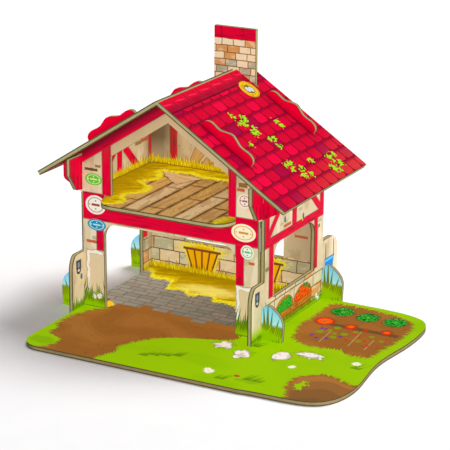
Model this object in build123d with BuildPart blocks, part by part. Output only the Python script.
"""Toy barn of eight flat printed boards that slot together, in millimetres.

The origin is on the table under the middle of the house. +X is to the right of somebody who
faces the doorway, +Y points to the rear and +Z points up. Every piece is one board of the same
thickness, so each is drawn as the outline that a cutter would follow and then given that
thickness: gable walls in the XZ plane, side walls in the YZ plane, the lawn and the loft floor
in the XY plane, and a roof panel in the plane of its slope.
"""

import os
from math import cos, radians, sin, tan

from build123d import *

# The house
board = 5.0  # thickness of every piece
house_width = 220.0  # over the outer faces of the side walls
house_depth = 149.0  # over the outer faces of the gable walls
ridge_height = 244.0  # where the undersides of the roof panels meet
roof_pitch = 33.0  # degrees
fit = 0.15  # gap between a board and each side of the notch or slot that it enters

# The roof
slope_length = 171.0
roof_overhang = 23.0  # beyond the gable walls
fin_start = 43.2  # down the slope from the ridge
fin_end = 110.4
fin_height = 8.6  # above the roof, at the fin's shoulders
fin_crest = 13.0  # above the roof, in the fin's middle

# Openings
door_width = 159.0
door_top = 101.0
opening_radius = 16.0  # upper corners of every doorway and window
side_door_width = 100.0
side_window_width = 97.5
rear_window_width = 125.0
window_sill = 43.0
loft_opening_width = 140.5
gable_band = 23.0  # of wall left over the loft opening's point, under the ridge

# The loft
loft_underside = 124.0
loft_slot_height = 8.0  # the front wall's slot is taller than the board that rests in it
nose_width = 157.0  # the part of the loft floor that comes out through the front wall
nose_reach = 21.0
loft_tab_width = 30.0
loft_tab_place = 65.0  # from the middle to a tab's middle

# The chimney
chimney_width = 50.0
chimney_rise = 50.0  # over the ridge

# Corner joints. Walls cross in a cross-lap at the foot and in a second one below the eaves,
# and between the two both are cut back, so that a side wall can come in from the side.
low_crossing = 37.0  # height of the lower crossing over the table
bracket_height = 41.5  # from the foot of an eaves bracket to the top of a side wall
bracket_reach = 23.7  # beyond the eight corners of the house, at the eaves
bracket_rise = 16.5  # from the foot of a bracket to the lower end of its outer edge
front_buttress_top = 65.6
front_buttress_reach = 22.5
rear_buttress_top = 70.0
rear_buttress_reach = 32.0
bush_reach = 23.8
bush_crown = 43.0

# The base board
lawn_front = 202.0  # in front of the middle of the house
lawn_right = 246.8  # to the right of the middle of the house
lawn_waist = 240.4
lawn_corner = 22.0  # radius of the front left corner
tongue_width = 12.0  # tongues of the base board in the left and the rear wall
tab_width = 14.0  # tabs of the front and the right wall in the base board

# Worked out from the sizes above
half_width = house_width / 2
half_depth = house_depth / 2
inner_x = half_width - board
inner_y = half_depth - board
slope = tan(radians(roof_pitch))
eaves_height = ridge_height - half_width * slope
side_wall_top = eaves_height - fit
bracket_foot = eaves_height - bracket_height
high_crossing = bracket_foot + bracket_height / 2
loft_apex = ridge_height - gable_band
loft_jamb_top = loft_apex - loft_opening_width / 2 * slope
chimney_top = ridge_height + chimney_rise
front_tab_x = (door_width / 2 + inner_x) / 2
side_tab_y = side_window_width / 2 - tab_width
tongue_y = (side_door_width / 2 + inner_y) / 2
tongue_x = front_tab_x


def under_roof(x):
    """Height of the roof's underside over a point at this distance from the middle."""
    return ridge_height - abs(x) * slope


def arched_opening(bottom, top, width):
    """Doorway or window in the middle of a wall: a rectangle with rounded upper corners."""
    with BuildSketch() as opening:
        with Locations((0, (bottom + top) / 2)):
            Rectangle(width, top - bottom)
        fillet(opening.vertices().group_by(Axis.Y)[-1], radius=opening_radius)
    return opening.sketch


def fin_outline():
    """Wavy fin over the roof; x runs down the slope and y out of it, from the underside."""
    middle = (fin_start + fin_end) / 2
    shoulder = board + fin_height
    with BuildSketch() as fin:
        with BuildLine():
            upper_end = Line((fin_start, 0), (fin_start, board + fin_height / 3))
            wave = Spline(
                upper_end @ 1,
                (fin_start + 2, shoulder - 2.2),
                (fin_start + 8, shoulder),
                (fin_start + 19, shoulder - 0.6),
                (middle, board + fin_crest),
                (fin_end - 21, shoulder + 0.3),
                (fin_end - 9, shoulder + 0.6),
                (fin_end - 2, shoulder - 1.8),
                (fin_end, board + fin_height / 3),
            )
            Polyline(wave @ 1, (fin_end, 0), (fin_start, 0))
        make_face()
    return fin.sketch


def gable_outline():
    """Gable wall down to the table: roof edges with fins, eaves brackets and bushes."""
    bracket_x = inner_x + bracket_reach
    bush_x = half_width + bush_reach
    with BuildSketch() as gable:
        with BuildLine():
            roof_edge = Line((0, ridge_height), (bracket_x, under_roof(bracket_x)))
            bracket_edge = Line(roof_edge @ 1, (bracket_x, bracket_foot + bracket_rise))
            bracket_turn = Spline(
                bracket_edge @ 1,
                (bracket_x - 3, bracket_foot + bracket_rise - board),
                tangents=[(0, -1), (-1, -slope)],
            )
            corner = Polyline(
                bracket_turn @ 1,
                (inner_x - fit, bracket_foot),
                (inner_x - fit, low_crossing),
                (half_width + fit, low_crossing),
            )
            bush = Spline(
                corner @ 1,
                (half_width + 0.27 * bush_reach, bush_crown),
                (half_width + 0.6 * bush_reach, 0.91 * bush_crown),
                (half_width + 0.9 * bush_reach, 0.73 * bush_crown),
                (bush_x, 0.5 * bush_crown),
            )
            Polyline(bush @ 1, (bush_x - 1, 0), (0, 0), (0, ridge_height))
        make_face()
        with Locations((0, ridge_height)):
            add(fin_outline(), rotation=-roof_pitch)
        # notch that takes the upper crossing of a side wall
        with Locations((half_width - board / 2, high_crossing)):
            Rectangle(board + 2 * fit, ridge_height - high_crossing,
                      align=(Align.CENTER, Align.MIN), mode=Mode.SUBTRACT)
        mirror(about=Plane.YZ)
    return gable.sketch


def side_wall_outline():
    """Side wall down to the table: a buttress and an eaves bracket at each end."""
    front_y = -half_depth - front_buttress_reach
    rear_y = half_depth + rear_buttress_reach
    bracket_y = half_depth + roof_overhang
    with BuildSketch() as side:
        with BuildLine():
            foot = Line((front_y, 0), (front_y, 0.7 * front_buttress_top))
            front_turn = Spline(
                foot @ 1,
                (front_y + 3.2, front_buttress_top - 5),
                (front_y + 10.5, front_buttress_top),
                tangents=[(0, 1), (1, 0)],
            )
            front_corner = Polyline(
                front_turn @ 1,
                (-inner_y + fit, front_buttress_top),
                (-inner_y + fit, bracket_foot + 3),
                (-half_depth - 10.5, bracket_foot + 5.5),
                (-bracket_y, high_crossing + 3),
                (-bracket_y, side_wall_top),
                (bracket_y, side_wall_top),
                (bracket_y, high_crossing + 3),
                (half_depth + 10.5, bracket_foot + 5.5),
                (inner_y - fit, bracket_foot + 3),
                (inner_y - fit, rear_buttress_top),
                (rear_y - 18.5, rear_buttress_top),
            )
            rear_turn = Spline(
                front_corner @ 1,
                (rear_y - 4, rear_buttress_top - 5),
                (rear_y, 0.62 * rear_buttress_top),
                tangents=[(1, 0), (0, -1)],
            )
            Polyline(rear_turn @ 1, (rear_y, 0), (front_y, 0))
        make_face()
        # notches over the lower and the upper crossing of each gable wall
        for y in (-half_depth + board / 2, half_depth - board / 2):
            with Locations((y, 0)):
                Rectangle(board + 2 * fit, low_crossing + fit,
                          align=(Align.CENTER, Align.MIN), mode=Mode.SUBTRACT)
            with Locations((y, bracket_foot)):
                Rectangle(board + 2 * fit, high_crossing + fit - bracket_foot,
                          align=(Align.CENTER, Align.MIN), mode=Mode.SUBTRACT)
    return side.sketch


with BuildPart() as base_board:
    with BuildSketch():
        with BuildLine():
            left_x = -inner_x + fit
            rear_y = inner_y - fit
            front = Line((left_x + lawn_corner, -lawn_front), (lawn_right - 97, -lawn_front + 1))
            right = Spline(
                front @ 1,
                (lawn_right - 47, -lawn_front + 4),
                (lawn_right - 14, -lawn_front + 14),
                (lawn_right - 1, -lawn_front + 43),
                (lawn_waist + 2, -inner_y - 30),
                (lawn_waist, -inner_y + 5),
                (lawn_right - 2, -inner_y + 45),
                (lawn_right, rear_y - 54),
                (lawn_right - 9.5, rear_y - 15),
                (lawn_right - 47, rear_y - 1.5),
                (lawn_right - 82, rear_y),
            )
            house_edges = Polyline(
                right @ 1,
                (left_x, rear_y),
                (left_x, -lawn_front + lawn_corner),
            )
            TangentArc(house_edges @ 1, front @ 0, tangent=(0, -1))
        make_face()
        # tongues that enter the left and the rear wall
        for y in (-tongue_y, tongue_y):
            with Locations((left_x - board / 2, y)):
                Rectangle(board, tongue_width)
        for x in (-tongue_x, tongue_x):
            with Locations((x, rear_y + board / 2)):
                Rectangle(tongue_width, board)
        # slots for the tabs of the front and the right wall
        for x in (-front_tab_x, front_tab_x):
            with Locations((x, -half_depth + board / 2)):
                Rectangle(tab_width + 2 * fit, board + 2 * fit, mode=Mode.SUBTRACT)
        for y in (-side_tab_y, side_tab_y):
            with Locations((half_width - board / 2, y)):
                Rectangle(board + 2 * fit, tab_width + 2 * fit, mode=Mode.SUBTRACT)
    extrude(amount=board)
base_board.part.label = "base_board"

with BuildPart() as front_gable_wall:
    with BuildSketch(Plane.XZ.offset(inner_y)):
        add(gable_outline())
        # the base board lies under the wall, from the left wall to beyond the right bush
        with Locations((-inner_x, 0)):
            Rectangle(house_width + bush_reach, board, align=Align.MIN, mode=Mode.SUBTRACT)
        add(arched_opening(0, door_top, door_width), mode=Mode.SUBTRACT)
        # the loft floor rests in this slot, under the loft opening
        with Locations((0, loft_underside)):
            Rectangle(nose_width + 4 * fit, loft_slot_height,
                      align=(Align.CENTER, Align.MIN), mode=Mode.SUBTRACT)
        with BuildLine():
            loft_x = loft_opening_width / 2
            Polyline(
                (-loft_x, loft_underside + board),
                (-loft_x, loft_jamb_top),
                (0, loft_apex),
                (loft_x, loft_jamb_top),
                (loft_x, loft_underside + board),
                close=True,
            )
        make_face(mode=Mode.SUBTRACT)
        for x in (-front_tab_x, front_tab_x):
            with Locations((x, board / 2)):
                Rectangle(tab_width, board)
    extrude(amount=board)
front_gable_wall.part.label = "front_gable_wall"

with BuildPart() as rear_gable_wall:
    with BuildSketch(Plane.XZ.offset(-half_depth)):
        add(gable_outline())
        chimney_root = under_roof(chimney_width / 2)
        with Locations((0, chimney_root)):
            Rectangle(chimney_width, chimney_top - chimney_root,
                      align=(Align.CENTER, Align.MIN))
        add(arched_opening(window_sill, door_top, rear_window_width), mode=Mode.SUBTRACT)
        for x in (-loft_tab_place, loft_tab_place):
            with Locations((x, loft_underside)):
                Rectangle(loft_tab_width + 2 * fit, board + fit,
                          align=(Align.CENTER, Align.MIN), mode=Mode.SUBTRACT)
        for x in (-tongue_x, tongue_x):
            with Locations((x, 0)):
                Rectangle(tongue_width + 2 * fit, board + fit,
                          align=(Align.CENTER, Align.MIN), mode=Mode.SUBTRACT)
    extrude(amount=board)
rear_gable_wall.part.label = "rear_gable_wall"

with BuildPart() as left_side_wall:
    with BuildSketch(Plane.YZ.offset(-half_width)):
        add(side_wall_outline())
        add(arched_opening(0, door_top, side_door_width), mode=Mode.SUBTRACT)
        for y in (-tongue_y, tongue_y):
            with Locations((y, 0)):
                Rectangle(tongue_width + 2 * fit, board + fit,
                          align=(Align.CENTER, Align.MIN), mode=Mode.SUBTRACT)
    extrude(amount=board)
left_side_wall.part.label = "left_side_wall"

with BuildPart() as right_side_wall:
    with BuildSketch(Plane.YZ.offset(inner_x)):
        add(side_wall_outline())
        # the base board lies under the wall, up to the rear wall
        with Locations((inner_y, 0)):
            Rectangle(house_depth + front_buttress_reach, board,
                      align=(Align.MAX, Align.MIN), mode=Mode.SUBTRACT)
        add(arched_opening(window_sill, door_top, side_window_width), mode=Mode.SUBTRACT)
        for y in (-side_tab_y, side_tab_y):
            with Locations((y, board / 2)):
                Rectangle(tab_width, board)
    extrude(amount=board)
right_side_wall.part.label = "right_side_wall"

with BuildPart() as loft_floor:
    with BuildSketch(Plane.XY.offset(loft_underside)):
        Rectangle(2 * (inner_x - fit), 2 * (inner_y - fit))
        with BuildLine():
            nose_x = nose_width / 2
            nose_y = -half_depth - nose_reach
            left_turn = Spline(
                (-nose_x, -inner_y),
                (-nose_x + 6.5, nose_y + 5.5),
                (-nose_x + 22, nose_y),
                tangents=[(0, -1), (1, 0)],
            )
            straight = Line(left_turn @ 1, (nose_x - 22, nose_y))
            Spline(
                straight @ 1,
                (nose_x - 6.5, nose_y + 5.5),
                (nose_x, -inner_y),
                tangents=[(1, 0), (0, 1)],
            )
            Polyline((nose_x, -inner_y), (nose_x, 0), (-nose_x, 0), (-nose_x, -inner_y))
        make_face()
        for x in (-loft_tab_place, loft_tab_place):
            with Locations((x, inner_y - fit)):
                Rectangle(loft_tab_width, board + fit, align=(Align.CENTER, Align.MIN))
    extrude(amount=board)
loft_floor.part.label = "loft_floor"

roof_plane = Plane(
    origin=(0, 0, ridge_height),
    x_dir=(cos(radians(roof_pitch)), 0, -sin(radians(roof_pitch))),
    z_dir=(sin(radians(roof_pitch)), 0, cos(radians(roof_pitch))),
)
with BuildPart() as right_roof_panel:
    with BuildSketch(roof_plane):
        # the undersides of the two panels meet at the ridge
        with Locations((fit / 2, 0)):
            Rectangle(slope_length, house_depth + 2 * roof_overhang,
                      align=(Align.MIN, Align.CENTER))
        for y in (-half_depth + board / 2, half_depth - board / 2):
            with Locations(((fin_start + fin_end) / 2, y)):
                Rectangle(fin_end - fin_start + 2 * fit, board + 2 * fit, mode=Mode.SUBTRACT)
        # the chimney stands upright, so its notch is cut longer than the chimney is wide
        with Locations((0, half_depth - board / 2)):
            Rectangle(chimney_width / 2 / cos(radians(roof_pitch)) + 2 * fit,
                      board + 2 * fit, align=(Align.MIN, Align.CENTER), mode=Mode.SUBTRACT)
    extrude(amount=board)
right_roof_panel.part.label = "right_roof_panel"

with BuildPart() as left_roof_panel:
    add(right_roof_panel.part)
    mirror(about=Plane.YZ, mode=Mode.REPLACE)
left_roof_panel.part.label = "left_roof_panel"

os.makedirs("parts", exist_ok=True)
for piece in (
    base_board,
    front_gable_wall,
    rear_gable_wall,
    left_side_wall,
    right_side_wall,
    loft_floor,
    left_roof_panel,
    right_roof_panel,
):
    export_step(piece.part, f"parts/{piece.part.label}.step")
    solids = len(piece.part.solids())
    print(f"{piece.part.label}: {solids} solid, {piece.part.volume / 1000:.1f} cubic centimetres")
